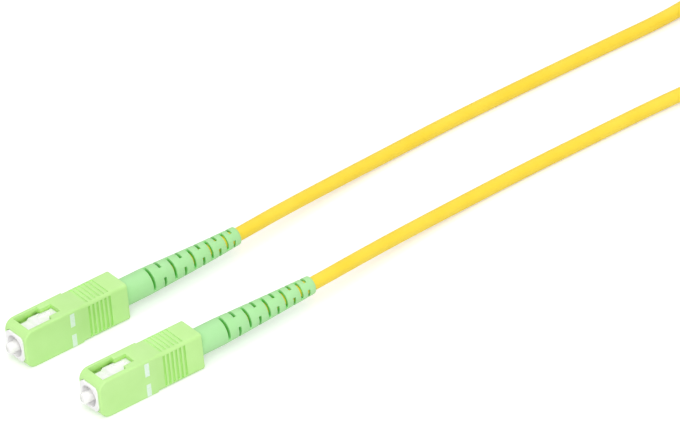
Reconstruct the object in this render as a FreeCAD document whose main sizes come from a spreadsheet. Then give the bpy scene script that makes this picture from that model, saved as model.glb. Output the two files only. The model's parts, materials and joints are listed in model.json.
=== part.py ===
import FreeCAD, Part
import math
import os
import re
import Sketcher

# Simplex fibre optic patch cable with a push-pull plug on each end, in millimetres.
# Each plug is drawn along +X from the front of its grip, on its own axis, latch window up.
# The plugs lie side by side on z = 0, and the spare cable is wound into a tied coil.

SIZES = {
    # grip: the outer push-pull housing
    "grip_length": 26.4,
    "grip_width": 7.4,
    "grip_height": 9.0,
    "grip_nose_radius": 2.3,
    "grip_front_length": 14.4,
    "grip_front_edge": 0.4,
    "grip_rear_inset": 0.06,
    "grip_rear_edge": 0.8,
    "grip_end_edge": 0.35,
    "grip_travel": 2.0,
    "window_start": 1.8,
    "window_step": 7.8,
    "window_end": 10.6,
    "window_wide": 5.5,
    "window_narrow": 3.4,
    "groove_first": 16.5,
    "groove_pitch": 1.05,
    "groove_count": 6,
    "groove_width": 0.6,
    "groove_depth": 0.4,
    "groove_margin": 0.75,
    "key_start": 1.6,
    "key_end": 8.0,
    "key_width": 2.2,
    "key_height": 0.8,
    # plug frame: the white inner body that the grip slides on
    "frame_width": 5.84,
    "frame_height": 6.7,
    "frame_corner": 1.2,
    "frame_reach": 0.3,
    "frame_rear": 15.5,
    "mouth_diameter": 4.8,
    "septum_front": 6.0,
    "septum_rear": 7.2,
    "frame_bore": 4.4,
    "relief_depth": 0.45,
    "relief_end": 4.7,
    "ridge_start": 1.3,
    "ridge_width": 4.5,
    "ridge_drop": 1.45,
    "catch_front": 5.3,
    "catch_rear": 6.6,
    "catch_pocket_end": 9.8,
    "catch_pocket_width": 2.9,
    "lug_start": 12.2,
    "lug_length": 1.2,
    "lug_height": 0.3,
    "lug_width": 2.6,
    # ferrule, its flange and the spring behind it
    "ferrule_diameter": 2.5,
    "ferrule_length": 11.4,
    "ferrule_reach": 1.8,
    "ferrule_travel": 1.5,
    "ferrule_chamfer": 0.35,
    "tip_angle": 8.0,
    "ferrule_socket_depth": 3.2,
    "flange_diameter": 4.1,
    "flange_thickness": 2.2,
    "flange_slot_width": 0.9,
    "flange_slot_depth": 0.3,
    "barrel_diameter": 2.6,
    "barrel_length": 4.0,
    "spring_wire": 0.36,
    "spring_length": 3.75,
    "spring_turns": 5,
    # stop ring, yarn, crimp sleeve and fibre
    "stop_bore": 2.9,
    "stop_web": 0.9,
    "collar_diameter": 5.4,
    "collar_thickness": 1.2,
    "post_diameter": 3.5,
    "post_length": 5.3,
    "post_bore": 1.3,
    "fibre_diameter": 0.9,
    "yarn_thickness": 0.22,
    "crimp_wall": 0.3,
    "crimp_cone": 1.0,
    "crimp_tail": 3.3,
    # boot: the slotted bend relief
    "boot_start": 17.3,
    "boot_shoulder": 24.9,
    "boot_end": 57.0,
    "boot_neck_diameter": 5.5,
    "boot_diameter": 5.9,
    "boot_end_diameter": 3.98,
    "boot_taper_start": 33.1,
    "boot_end_edge": 0.3,
    "slot_first": 33.6,
    "slot_end_margin": 1.95,
    "slot_ratio": 0.95,
    "slot_count": 10,
    "slot_width": 0.66,
    "slot_turn": 48.5,
    "hinge_angle": 49.0,
    # cable, coil and tie
    "cable_diameter": 3.0,
    "coil_outer_radius": 21.6,
    "coil_inner_radius": 13.1,
    "coil_layers": 2,
    "coil_centre_x": 169.15,
    "coil_centre_y": -1.0,
    "tie_thickness": 0.8,
    "tie_width": 8.0,
    "tie_corner": 1.6,
    # clearances, all measured to one side
    "slide_clearance": 0.08,
    "lug_clearance": 0.1,
    "bore_clearance": 0.12,
    "seat_clearance": 0.05,
    "fit_clearance": 0.05,
    # how the two ends lie
    "end_pitch": 25.2,
    "end_stagger": 0.75,
}

# Route of each lead outside its boot, chosen by hand: x, y and height of the cable's middle.
LEAD_ROUTES = {
    "a": [(40.7, 12.2, 4.5), (54.6, 15.6, 2.9), (70.6, 17.8, 1.75), (88.6, 18.65, 1.5),
          (107.6, 18.55, 1.5), (127.3, 18.2, 1.5), (147.3, 17.6, 1.55)],
    "b": [(41.5, -13.0, 4.5), (55.3, -9.5, 2.9), (71.3, -7.2, 1.75), (89.3, -6.4, 1.5),
          (107.5, -6.4, 1.5), (124.9, -6.6, 1.6), (143.6, -9.0, 2.5)],
}

ARC_SHARE = 0.45  # how much of the shorter run beside a bend its arc takes up
VOLUME_TOLERANCE = 0.005
TOUCHING = 1e-4  # millimetres

doc = FreeCAD.newDocument("PatchCable")
sheet = doc.addObject("Spreadsheet::Sheet", "Sizes")
for row, (alias, size) in enumerate(SIZES.items(), start=1):
    sheet.set(f"A{row}", alias)
    sheet.set(f"B{row}", str(size))
    sheet.setAlias(f"B{row}", alias)
doc.recompute()

sub_parts = []


def sized(text):
    """Turn plain size names into references to the sheet's cells."""
    return re.sub(r"[a-z_]{3,}", lambda word: f"Sizes.{word.group()}" if word.group() in SIZES
                  else word.group(), text)


def value(text):
    """Work out an expression of size names as a number."""
    return float(sheet.evalExpression(sized(text)))


# Sizes that several pieces share, each an expression of the driving dimensions.
AXIS_HEIGHT = "grip_height / 2"
END_X = {"a": "(frame_reach + ferrule_reach - boot_end - end_stagger) / 2",
         "b": "(frame_reach + ferrule_reach - boot_end + end_stagger) / 2"}
END_Y = {"a": "(end_pitch - key_height) / 2",
         "b": "(0 - end_pitch - key_height) / 2"}
FERRULE_TIP = "(0 - frame_reach - ferrule_reach)"
FERRULE_REAR = f"({FERRULE_TIP} + ferrule_length)"
FLANGE_FRONT = "(septum_rear + seat_clearance)"
FLANGE_REAR = f"({FLANGE_FRONT} + flange_thickness)"
BARREL_END = f"({FLANGE_REAR} + barrel_length)"
STOP_FRONT = f"({FLANGE_REAR} + spring_length)"
COLLAR_REAR = "(frame_rear + collar_thickness)"
POST_END = f"({COLLAR_REAR} + post_length)"
JACKET_START = f"({POST_END} + seat_clearance)"
CRIMP_FRONT = f"({COLLAR_REAR} + seat_clearance)"
CRIMP_CONE_END = f"({POST_END} + crimp_cone)"
CRIMP_END = f"({CRIMP_CONE_END} + crimp_tail)"
YARN_INNER = "(post_diameter / 2 + fit_clearance)"
YARN_OUTER = f"({YARN_INNER} + yarn_thickness)"
CRIMP_INNER = f"({YARN_OUTER} + fit_clearance)"
CRIMP_OUTER = f"({CRIMP_INNER} + crimp_wall)"
CRIMP_NECK_INNER = "(cable_diameter / 2 + fit_clearance)"
CRIMP_NECK_OUTER = f"({CRIMP_NECK_INNER} + crimp_wall)"
BOOT_BORE = "(cable_diameter / 2 + fit_clearance)"
FIBRE_HOLE = "(fibre_diameter / 2 + fit_clearance * 2)"
CAVITY_WIDTH = "(frame_width + 2 * slide_clearance)"
CAVITY_HEIGHT = "(frame_height + 2 * slide_clearance)"
CAVITY_DEPTH = "(frame_rear + seat_clearance)"
FRONT_HEIGHT = "(frame_height - 2 * relief_depth)"
COIL_FLOOR = "(tie_thickness + fit_clearance)"
COIL_TOP = f"({COIL_FLOOR} + coil_layers * cable_diameter)"
COIL_HOLE = "(coil_inner_radius - cable_diameter / 2)"
COIL_RIM = "(coil_outer_radius + cable_diameter / 2)"


def new_body(name, place=("0", "0", "0")):
    """Start a sub-part whose origin is bound to the sheet."""
    body = doc.addObject("PartDesign::Body", name)
    body.Label = name
    for axis, text in zip("xyz", place):
        body.setExpression(f"Placement.Base.{axis}", sized(text))
    sub_parts.append(body)
    return body


def end_place(end):
    return END_X[end], END_Y[end], AXIS_HEIGHT


def origin_feature(body, role):
    return next(item for item in body.Origin.OriginFeatures if item.Role == role)


def new_sketch(body, name, plane, along="0", turn=None):
    """Sketch on one of the body's own planes, moved along its normal or turned about X."""
    sketch = body.newObject("Sketcher::SketchObject", name)
    sketch.AttachmentSupport = (origin_feature(body, plane), [""])
    sketch.MapMode = "FlatFace"
    if along != "0":
        sketch.setExpression("AttachmentOffset.Base.z", sized(along))
    if turn:
        sketch.AttachmentOffset = FreeCAD.Placement(
            FreeCAD.Vector(), FreeCAD.Rotation(FreeCAD.Vector(1, 0, 0), value(turn)))
        sketch.setExpression("AttachmentOffset.Rotation.Angle", sized(f"({turn}) * 1 deg"))
    return sketch


def bind_point(sketch, shape, point, place):
    """Hold a sketch point at a place given by two expressions."""
    for kind, axis, text in (("DistanceX", -2, place[0]), ("DistanceY", -1, place[1])):
        if text == "0":
            sketch.addConstraint(Sketcher.Constraint("PointOnObject", shape, point, axis))
        else:
            index = sketch.addConstraint(
                Sketcher.Constraint(kind, -1, 1, shape, point, value(text)))
            sketch.setExpression(f"Constraints[{index}]", sized(text))


def add_outline(sketch, corners):
    """Closed outline of straight lines through corners given by expressions."""
    first = sketch.GeometryCount
    points = [FreeCAD.Vector(value(x), value(y), 0) for x, y in corners]
    for start, finish in zip(points, points[1:] + points[:1]):
        sketch.addGeometry(Part.LineSegment(start, finish))
    for step, corner in enumerate(corners):
        following = first + (step + 1) % len(corners)
        sketch.addConstraint(Sketcher.Constraint("Coincident", first + step, 2, following, 1))
        bind_point(sketch, first + step, 1, corner)
    return sketch


def add_rectangle(sketch, low, high):
    return add_outline(sketch, [low, (high[0], low[1]), high, (low[0], high[1])])


def add_rounded_rectangle(sketch, width, height, radius):
    """Rectangle about the sketch's origin with round corners: lines, and a quarter arc after each."""
    across, up, corner = value(f"{width} / 2"), value(f"{height} / 2"), value(radius)
    flat_across, flat_up = f"({width} / 2 - {radius})", f"({height} / 2 - {radius})"
    sides = [((f"0 - {flat_across}", f"0 - {height} / 2"), (flat_across, f"0 - {height} / 2")),
             ((f"{width} / 2", f"0 - {flat_up}"), (f"{width} / 2", flat_up)),
             ((flat_across, f"{height} / 2"), (f"0 - {flat_across}", f"{height} / 2")),
             ((f"0 - {width} / 2", flat_up), (f"0 - {width} / 2", f"0 - {flat_up}"))]
    middles = [(across - corner, corner - up), (across - corner, up - corner),
               (corner - across, up - corner), (corner - across, corner - up)]
    lines, arcs = [], []
    for step, ((start, finish), middle) in enumerate(zip(sides, middles)):
        ends = [FreeCAD.Vector(value(x), value(y), 0) for x, y in (start, finish)]
        lines.append(sketch.addGeometry(Part.LineSegment(*ends)))
        bind_point(sketch, lines[-1], 1, start)
        bind_point(sketch, lines[-1], 2, finish)
        circle = Part.Circle(FreeCAD.Vector(*middle, 0), FreeCAD.Vector(0, 0, 1), corner)
        opening = (step - 1) * math.pi / 2
        arcs.append(sketch.addGeometry(Part.ArcOfCircle(circle, opening, opening + math.pi / 2)))
    for step, (line, arc) in enumerate(zip(lines, arcs)):
        sketch.addConstraint(Sketcher.Constraint("Coincident", line, 2, arc, 1))
        sketch.addConstraint(Sketcher.Constraint("Coincident", arc, 2, lines[(step + 1) % 4], 1))
        index = sketch.addConstraint(Sketcher.Constraint("Radius", arc, corner))
        sketch.setExpression(f"Constraints[{index}]", sized(radius))
    return sketch


def add_circle(sketch, radius, centre=("0", "0")):
    middle = FreeCAD.Vector(value(centre[0]), value(centre[1]), 0)
    shape = sketch.addGeometry(Part.Circle(middle, FreeCAD.Vector(0, 0, 1), value(radius)))
    bind_point(sketch, shape, 3, centre)
    index = sketch.addConstraint(Sketcher.Constraint("Radius", shape, value(radius)))
    sketch.setExpression(f"Constraints[{index}]", sized(radius))
    return sketch


def pad(body, sketch, length, both_ways=False):
    feature = body.newObject("PartDesign::Pad", f"{sketch.Name}_pad")
    feature.Profile = sketch
    feature.SideType = "Symmetric" if both_ways else "One side"
    feature.setExpression("Length", sized(length))
    doc.recompute()
    return feature


def pocket(body, sketch, length=None):
    """Cut along the sketch's normal by a length, or both ways through all."""
    before = body.Shape.Volume
    feature = body.newObject("PartDesign::Pocket", f"{sketch.Name}_pocket")
    feature.Profile = sketch
    if length:
        feature.Reversed = True
        feature.setExpression("Length", sized(length))
    else:
        feature.Type = "ThroughAll"
        feature.SideType = "Symmetric"
    doc.recompute()
    if body.Shape.Volume >= before:
        raise RuntimeError(f"{feature.Name} cuts nothing")
    return feature


def box(body, kind, name, low, high):
    """Box added to or cut from the body between two corners given by expressions."""
    feature = body.newObject(f"PartDesign::{kind}Box", name)
    feature.AttachmentSupport = (origin_feature(body, "XY_Plane"), [""])
    feature.MapMode = "FlatFace"
    for side, axis, start, finish in zip(("Length", "Width", "Height"), "xyz", low, high):
        feature.setExpression(side, sized(f"({finish}) - ({start})"))
        feature.setExpression(f"AttachmentOffset.Base.{axis}", sized(start))
    return feature


def round_edges(body, name, radius, chosen):
    """Fillet the edges that a test on their middle point and direction picks."""
    doc.recompute()
    base = body.Tip
    names = []
    for number, edge in enumerate(base.Shape.Edges, start=1):
        middle = edge.valueAt((edge.FirstParameter + edge.LastParameter) / 2)
        if chosen(middle, edge):
            names.append(f"Edge{number}")
    feature = body.newObject("PartDesign::Fillet", name)
    feature.Base = (base, names)
    feature.setExpression("Radius", sized(radius))
    doc.recompute()
    return feature


def near(number, text):
    return abs(number - value(text)) < TOUCHING


def turned(name, end, corners):
    """Piece turned about the plug's axis from a half section of x and radius."""
    body = new_body(name, end_place(end))
    sketch = add_outline(new_sketch(body, f"{name}_section", "XY_Plane"), corners)
    feature = body.newObject("PartDesign::Revolution", f"{name}_turn")
    feature.Profile = sketch
    feature.ReferenceAxis = (sketch, ["H_Axis"])
    doc.recompute()
    return body


def grip_housing(end):
    """Push-pull grip: rounded nose, latch windows, finger grooves, key and inner bore."""
    name = f"grip_housing_{end}"
    body = new_body(name, end_place(end))
    half_height = "grip_height / 2"
    half_width = "grip_width / 2"

    front = new_sketch(body, f"{name}_front", "XZ_Plane")
    add_rectangle(front, ("0", f"0 - {half_height}"), ("grip_front_length", half_height))
    pad(body, front, "grip_width", both_ways=True)
    round_edges(body, f"{name}_nose", "grip_nose_radius",
                lambda middle, edge: near(middle.x, "0") and near(abs(middle.z), half_height))
    round_edges(body, f"{name}_front_edges", "grip_front_edge",
                lambda middle, edge: near(abs(middle.y), half_width)
                and not near(middle.x, "grip_front_length"))

    rear = new_sketch(body, f"{name}_rear", "YZ_Plane", along="grip_front_length")
    add_rounded_rectangle(rear, "(grip_width - 2 * grip_rear_inset)",
                          "(grip_height - 2 * grip_rear_inset)", "grip_rear_edge")
    pad(body, rear, "grip_length - grip_front_length")
    round_edges(body, f"{name}_end_edges", "grip_end_edge",
                lambda middle, edge: near(middle.x, "grip_length"))

    opening = new_sketch(body, f"{name}_opening", "YZ_Plane")
    add_rounded_rectangle(opening, CAVITY_WIDTH, f"({FRONT_HEIGHT} + 2 * slide_clearance)", "frame_corner")
    pocket(body, opening, CAVITY_DEPTH)
    cavity = new_sketch(body, f"{name}_cavity", "YZ_Plane", along="window_start")
    add_rounded_rectangle(cavity, CAVITY_WIDTH, CAVITY_HEIGHT, "frame_corner")
    pocket(body, cavity, f"{CAVITY_DEPTH} - window_start")
    bore = add_circle(new_sketch(body, f"{name}_bore", "YZ_Plane"),
                      "boot_neck_diameter / 2 + bore_clearance")
    pocket(body, bore)
    rear_bore_start = "(boot_shoulder - grip_travel - seat_clearance)"
    rear_bore = add_circle(new_sketch(body, f"{name}_rear_bore", "YZ_Plane", along=rear_bore_start),
                           "boot_diameter / 2 + bore_clearance")
    pocket(body, rear_bore, f"grip_length - {rear_bore_start}")

    window = new_sketch(body, f"{name}_window", "XY_Plane")
    wide, narrow = "window_wide / 2", "window_narrow / 2"
    add_outline(window, [("window_start", f"0 - {wide}"), ("window_step", f"0 - {wide}"),
                         ("window_step", f"0 - {narrow}"), ("window_end", f"0 - {narrow}"),
                         ("window_end", narrow), ("window_step", narrow),
                         ("window_step", wide), ("window_start", wide)])
    pocket(body, window)

    lug_room = "(frame_width / 2 + lug_height + slide_clearance)"
    box(body, "Subtractive", f"{name}_lug_room",
        ("lug_start - grip_travel - lug_clearance", f"0 - {lug_room}",
         "0 - lug_width / 2 - lug_clearance"),
        ("lug_start + lug_length + lug_clearance", lug_room, "lug_width / 2 + lug_clearance"))

    groove = new_sketch(body, f"{name}_groove", "YZ_Plane", along="groove_first - groove_width / 2")
    side = f"({half_width} - grip_rear_inset - groove_depth)"
    crown = f"({half_height} - grip_rear_inset - groove_depth)"
    side_span = f"({half_height} - groove_margin)"
    crown_span = f"({half_width} - groove_margin)"
    add_rectangle(groove, (side, f"0 - {side_span}"), (half_width, side_span))
    add_rectangle(groove, (f"0 - {half_width}", f"0 - {side_span}"), (f"0 - {side}", side_span))
    add_rectangle(groove, (f"0 - {crown_span}", crown), (crown_span, half_height))
    add_rectangle(groove, (f"0 - {crown_span}", f"0 - {half_height}"), (crown_span, f"0 - {crown}"))
    first_groove = pocket(body, groove, "groove_width")
    pattern = body.newObject("PartDesign::LinearPattern", f"{name}_grooves")
    pattern.Originals = [first_groove]
    pattern.Direction = (origin_feature(body, "X_Axis"), [""])
    pattern.setExpression("Length", sized("groove_pitch * (groove_count - 1)"))
    pattern.setExpression("Occurrences", sized("groove_count"))
    body.Tip = pattern
    doc.recompute()

    box(body, "Additive", f"{name}_key",
        ("key_start", f"{half_width} - slide_clearance", "0 - key_width / 2"),
        ("key_end", f"{half_width} + key_height", "key_width / 2"))
    doc.recompute()


def plug_frame(end):
    """Inner plug body: round mouth, wall with the ferrule hole, latch catches and side lugs."""
    name = f"plug_frame_{end}"
    body = new_body(name, end_place(end))
    half_height = "frame_height / 2"
    front = "(0 - frame_reach)"

    block = new_sketch(body, f"{name}_block", "YZ_Plane", along="relief_end")
    add_rounded_rectangle(block, "frame_width", "frame_height", "frame_corner")
    pad(body, block, "frame_rear - relief_end")
    low_front = new_sketch(body, f"{name}_low_front", "YZ_Plane", along=front)
    add_rounded_rectangle(low_front, "frame_width", FRONT_HEIGHT, "frame_corner")
    pad(body, low_front, "relief_end + frame_reach")
    lug_reach = "(frame_width / 2 + lug_height)"
    box(body, "Additive", f"{name}_lugs", ("lug_start", f"0 - {lug_reach}", "0 - lug_width / 2"),
        ("lug_start + lug_length", lug_reach, "lug_width / 2"))
    doc.recompute()

    ramp = new_sketch(body, f"{name}_ramp", "XZ_Plane")
    low, high = f"({half_height} - relief_depth)", f"({half_height} + relief_depth)"
    for sign in ("", "0 - "):
        add_outline(ramp, [("relief_end", sign + low), ("catch_front", sign + half_height),
                           ("catch_front", sign + high), ("relief_end", sign + high)])
    pocket(body, ramp)
    cut_channels(body, "front_channels", "ridge_start", "catch_front")
    cut_channels(body, "rear_channels", "catch_rear", "catch_pocket_end")
    catch_side = "catch_pocket_width / 2"
    box(body, "Subtractive", f"{name}_catch_top", ("catch_rear", f"0 - {catch_side}", low),
        ("catch_pocket_end", catch_side, high))
    box(body, "Subtractive", f"{name}_catch_bottom", ("catch_rear", f"0 - {catch_side}", f"0 - {high}"),
        ("catch_pocket_end", catch_side, f"0 - {low}"))
    doc.recompute()

    mouth = add_circle(new_sketch(body, f"{name}_mouth", "YZ_Plane", along=front), "mouth_diameter / 2")
    pocket(body, mouth, "septum_front + frame_reach")
    hole = add_circle(new_sketch(body, f"{name}_hole", "YZ_Plane"),
                      "ferrule_diameter / 2 + bore_clearance")
    pocket(body, hole)
    bore = add_circle(new_sketch(body, f"{name}_bore", "YZ_Plane", along="septum_rear"), "frame_bore / 2")
    pocket(body, bore, "frame_rear - septum_rear")

    key_inner = "(flange_diameter / 2 - flange_slot_depth + bore_clearance)"
    key_half = "(flange_slot_width / 2 - bore_clearance)"
    box(body, "Additive", f"{name}_flange_key", ("septum_rear", key_inner, f"0 - {key_half}"),
        (f"{FLANGE_REAR} + ferrule_travel", "frame_bore / 2 + bore_clearance", key_half))
    doc.recompute()


def cut_channels(body, name, start, finish):
    """Cut the open channels on both sides of the top and bottom ridges between two distances."""
    sketch = new_sketch(body, f"{body.Name}_{name}", "YZ_Plane", along=start)
    inner, outer = "ridge_width / 2", "(frame_width / 2 + relief_depth)"
    floor, above = "(frame_height / 2 - ridge_drop)", "(frame_height / 2 + relief_depth)"
    for side in ("", "0 - "):
        for level in ("", "0 - "):
            add_rectangle(sketch, (side + inner, level + floor), (side + outer, level + above))
    pocket(body, sketch, f"{finish} - {start}")


def ferrule(end):
    """Ceramic ferrule with a chamfered, slanted tip and a socket for the fibre's buffer."""
    name = f"ferrule_{end}"
    radius = "ferrule_diameter / 2"
    body = turned(name, end, [
        (FERRULE_TIP, "0"), (FERRULE_TIP, f"{radius} - ferrule_chamfer"),
        (f"{FERRULE_TIP} + ferrule_chamfer", radius), (FERRULE_REAR, radius),
        (FERRULE_REAR, FIBRE_HOLE), (f"{FERRULE_REAR} - ferrule_socket_depth", FIBRE_HOLE),
        (f"{FERRULE_REAR} - ferrule_socket_depth", "0")])
    slant = new_sketch(body, f"{name}_slant", "XY_Plane")
    edge = f"({radius} - ferrule_chamfer) * tan(tip_angle * 1 deg)"
    ahead = f"{FERRULE_TIP} - ferrule_chamfer"
    add_outline(slant, [(ahead, f"0 - {radius}"), (FERRULE_TIP, f"0 - {radius} + ferrule_chamfer"),
                        (f"{FERRULE_TIP} + 2 * {edge}", f"{radius} - ferrule_chamfer"),
                        (f"{FERRULE_TIP} + 2 * {edge}", radius), (ahead, radius)])
    pocket(body, slant)


def ferrule_flange(end):
    """Metal collar and barrel that hold the ferrule, with a slot for the frame's key."""
    name = f"ferrule_flange_{end}"
    hole = "(ferrule_diameter / 2 + fit_clearance)"
    body = turned(name, end, [
        (FLANGE_FRONT, hole), (FLANGE_FRONT, "flange_diameter / 2"),
        (FLANGE_REAR, "flange_diameter / 2"), (FLANGE_REAR, "barrel_diameter / 2"),
        (BARREL_END, "barrel_diameter / 2"), (BARREL_END, FIBRE_HOLE),
        (f"{FERRULE_REAR} + fit_clearance", FIBRE_HOLE), (f"{FERRULE_REAR} + fit_clearance", hole)])
    box(body, "Subtractive", f"{name}_slot",
        (FLANGE_FRONT, "flange_diameter / 2 - flange_slot_depth", "0 - flange_slot_width / 2"),
        (FLANGE_REAR, "flange_diameter / 2 + flange_slot_depth", "flange_slot_width / 2"))
    doc.recompute()


def ferrule_spring(end):
    """Round-wire compression spring between the flange and the stop ring."""
    name = f"ferrule_spring_{end}"
    body = new_body(name, end_place(end))
    wire = "spring_wire / 2"
    start = f"{FLANGE_REAR} + {wire} + seat_clearance"
    mean = f"barrel_diameter / 2 + {wire} + bore_clearance"
    section = add_circle(new_sketch(body, f"{name}_wire", "XY_Plane"), wire, (start, mean))
    feature = body.newObject("PartDesign::AdditiveHelix", f"{name}_helix")
    feature.Profile = section
    feature.ReferenceAxis = (section, ["H_Axis"])
    feature.Mode = "height-turns-angle"
    feature.setExpression("Height", sized("spring_length - spring_wire - 2 * seat_clearance"))
    feature.setExpression("Turns", sized("spring_turns"))
    doc.recompute()


def stop_ring(end):
    """Metal rear body: backs the spring, closes the frame and carries the crimp post."""
    step = f"({COLLAR_REAR} - stop_web)"
    turned(f"stop_ring_{end}", end, [
        (STOP_FRONT, "stop_bore / 2"), (STOP_FRONT, "frame_bore / 2 - fit_clearance"),
        ("frame_rear", "frame_bore / 2 - fit_clearance"), ("frame_rear", "collar_diameter / 2"),
        (COLLAR_REAR, "collar_diameter / 2"), (COLLAR_REAR, "post_diameter / 2"),
        (POST_END, "post_diameter / 2"), (POST_END, "post_bore / 2"),
        (step, "post_bore / 2"), (step, "stop_bore / 2")])


def aramid_yarn(end):
    """Strength yarn folded over the post, under the crimp."""
    turned(f"aramid_yarn_{end}", end, [
        (CRIMP_FRONT, YARN_INNER), (CRIMP_FRONT, YARN_OUTER), (POST_END, YARN_OUTER),
        (POST_END, YARN_INNER)])


def crimp_sleeve(end):
    """Metal sleeve crimped over the post, with a neck on the cable's jacket."""
    turned(f"crimp_sleeve_{end}", end, [
        (CRIMP_FRONT, CRIMP_INNER), (CRIMP_FRONT, CRIMP_OUTER), (POST_END, CRIMP_OUTER),
        (CRIMP_CONE_END, CRIMP_NECK_OUTER), (CRIMP_END, CRIMP_NECK_OUTER),
        (CRIMP_END, CRIMP_NECK_INNER), (CRIMP_CONE_END, CRIMP_NECK_INNER),
        (POST_END, CRIMP_INNER)])


def buffered_fibre(end):
    """Buffered fibre from the ferrule's socket to the jacket, with room to bow back."""
    start = f"({FERRULE_REAR} - ferrule_socket_depth + ferrule_travel + fit_clearance)"
    radius = "fibre_diameter / 2"
    turned(f"buffered_fibre_{end}", end, [
        (start, "0"), (start, radius), (POST_END, radius), (POST_END, "0")])


def cable_end(end):
    """The cable's jacket inside the plug, from the crimp to the end of the boot."""
    radius = "cable_diameter / 2"
    turned(f"cable_end_{end}", end, [
        (JACKET_START, "0"), (JACKET_START, radius), ("boot_end", radius), ("boot_end", "0")])


def slot_place(number):
    """Distance of a slot ring from the grip's front: the gaps shrink towards the cable."""
    share = f"(1 - slot_ratio^{number}) / (1 - slot_ratio^(slot_count - 1))"
    return f"(slot_first + (boot_end - slot_end_margin - slot_first) * {share})"


def boot_radius_at(place):
    drop = "(boot_diameter - boot_end_diameter) / 2 / (boot_end - boot_taper_start)"
    return f"(boot_diameter / 2 - max(0; {place} - boot_taper_start) * {drop})"


def boot(end):
    """Flexible boot: neck in the grip, smooth sleeve, then a tapered tail with staggered slots."""
    name = f"boot_{end}"
    body = turned(name, end, [
        ("boot_start", f"{CRIMP_OUTER} + fit_clearance"), ("boot_start", "boot_neck_diameter / 2"),
        ("boot_shoulder", "boot_neck_diameter / 2"), ("boot_shoulder", "boot_diameter / 2"),
        ("boot_taper_start", "boot_diameter / 2"),
        ("boot_end - boot_end_edge", boot_radius_at("(boot_end - boot_end_edge)")),
        ("boot_end", "boot_end_diameter / 2 - boot_end_edge"), ("boot_end", BOOT_BORE),
        (f"{CRIMP_END} + seat_clearance", BOOT_BORE),
        (f"{CRIMP_END} + seat_clearance", f"{CRIMP_NECK_OUTER} + fit_clearance"),
        (f"{CRIMP_CONE_END} + seat_clearance", f"{CRIMP_NECK_OUTER} + fit_clearance"),
        (f"{POST_END} + seat_clearance", f"{CRIMP_OUTER} + fit_clearance")])

    cut_slots(body, "even", 0, "slot_turn + 90")
    cut_slots(body, "odd", 1, "slot_turn")


def cut_slots(body, rings, first_ring, turn):
    """Cut every second ring of a boot's slots: one side by a part turn, and its copy opposite."""
    section = new_sketch(body, f"{body.Name}_{rings}_slots", "XY_Plane", turn=turn)
    for number in range(first_ring, int(value("slot_count")), 2):
        place = slot_place(number)
        add_rectangle(section, (f"{place} - slot_width / 2", "cable_diameter / 2"),
                      (f"{place} + slot_width / 2", f"{boot_radius_at(place)} + slot_width"))
    before = body.Shape.Volume
    groove = body.newObject("PartDesign::Groove", f"{section.Name}_cut")
    groove.Profile = section
    groove.ReferenceAxis = (section, ["H_Axis"])
    groove.Midplane = True
    groove.setExpression("Angle", sized("180 - hinge_angle"))
    doc.recompute()
    if body.Shape.Volume >= before:
        raise RuntimeError(f"{groove.Name} cuts nothing")
    pattern = body.newObject("PartDesign::PolarPattern", f"{section.Name}_pair")
    pattern.Originals = [groove]
    pattern.Axis = (origin_feature(body, "X_Axis"), [""])
    pattern.Occurrences = 2
    body.Tip = pattern
    doc.recompute()


def rounded_route(points):
    """Wire of straight runs joined by the largest tangent arcs, with the arcs' radii."""
    edges, radii = [], []
    cursor = points[0]
    for before, corner, after in zip(points, points[1:], points[2:]):
        arriving, leaving = (corner - before), (after - corner)
        tangent = ARC_SHARE * min(arriving.Length, leaving.Length)
        turn = arriving.getAngle(leaving)
        arriving.normalize()
        leaving.normalize()
        start, finish = corner - arriving * tangent, corner + leaving * tangent
        radius = tangent / math.tan(turn / 2)
        inward = (leaving - arriving).normalize()
        middle = corner + inward * (radius / math.cos(turn / 2) - radius)
        edges += [Part.LineSegment(cursor, start).toShape(), Part.Arc(start, middle, finish).toShape()]
        radii.append(radius)
        cursor = finish
    edges.append(Part.LineSegment(cursor, points[-1]).toShape())
    return Part.Wire(edges), radii


def coil_entry(point, side, height):
    """Place where a lead from a point runs on to the coil's outer turn, on one side of it."""
    centre = FreeCAD.Vector(value("coil_centre_x"), value("coil_centre_y"), 0)
    gap = centre - FreeCAD.Vector(point.x, point.y, 0)
    radius = value("coil_outer_radius")
    heading = math.atan2(gap.y, gap.x) + side * math.asin(radius / gap.Length)
    reach = math.sqrt(gap.Length ** 2 - radius ** 2)
    return FreeCAD.Vector(point.x + reach * math.cos(heading), point.y + reach * math.sin(heading), height)


def cable_lead(end, side, height):
    """Jacketed cable from the end of the boot over the floor to the coil."""
    name = f"cable_lead_{end}"
    start = FreeCAD.Vector(value(f"{END_X[end]} + boot_end"), value(END_Y[end]), value(AXIS_HEIGHT))
    route = [start] + [FreeCAD.Vector(*point) for point in LEAD_ROUTES[end]]
    route.append(coil_entry(route[-1], side, height))
    path, radii = rounded_route(route)
    radius = value("cable_diameter / 2")
    section = Part.Wire(Part.makeCircle(radius, start, FreeCAD.Vector(1, 0, 0)))
    tube = path.makePipeShell([section], True, False)
    expected = math.pi * radius ** 2 * path.Length
    if abs(tube.Volume - expected) > VOLUME_TOLERANCE * expected:
        raise RuntimeError(f"{name} has volume {tube.Volume:.1f}, not {expected:.1f}")
    feature = doc.addObject("Part::Feature", name)
    feature.Label = name
    feature.Shape = tube
    feature.Placement = FreeCAD.Placement()
    sub_parts.append(feature)
    print(name, "length", round(path.Length, 1), "radii", [round(item, 1) for item in radii],
          "ends at", [round(item, 2) for item in route[-1]])
    return path.Length


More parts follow.
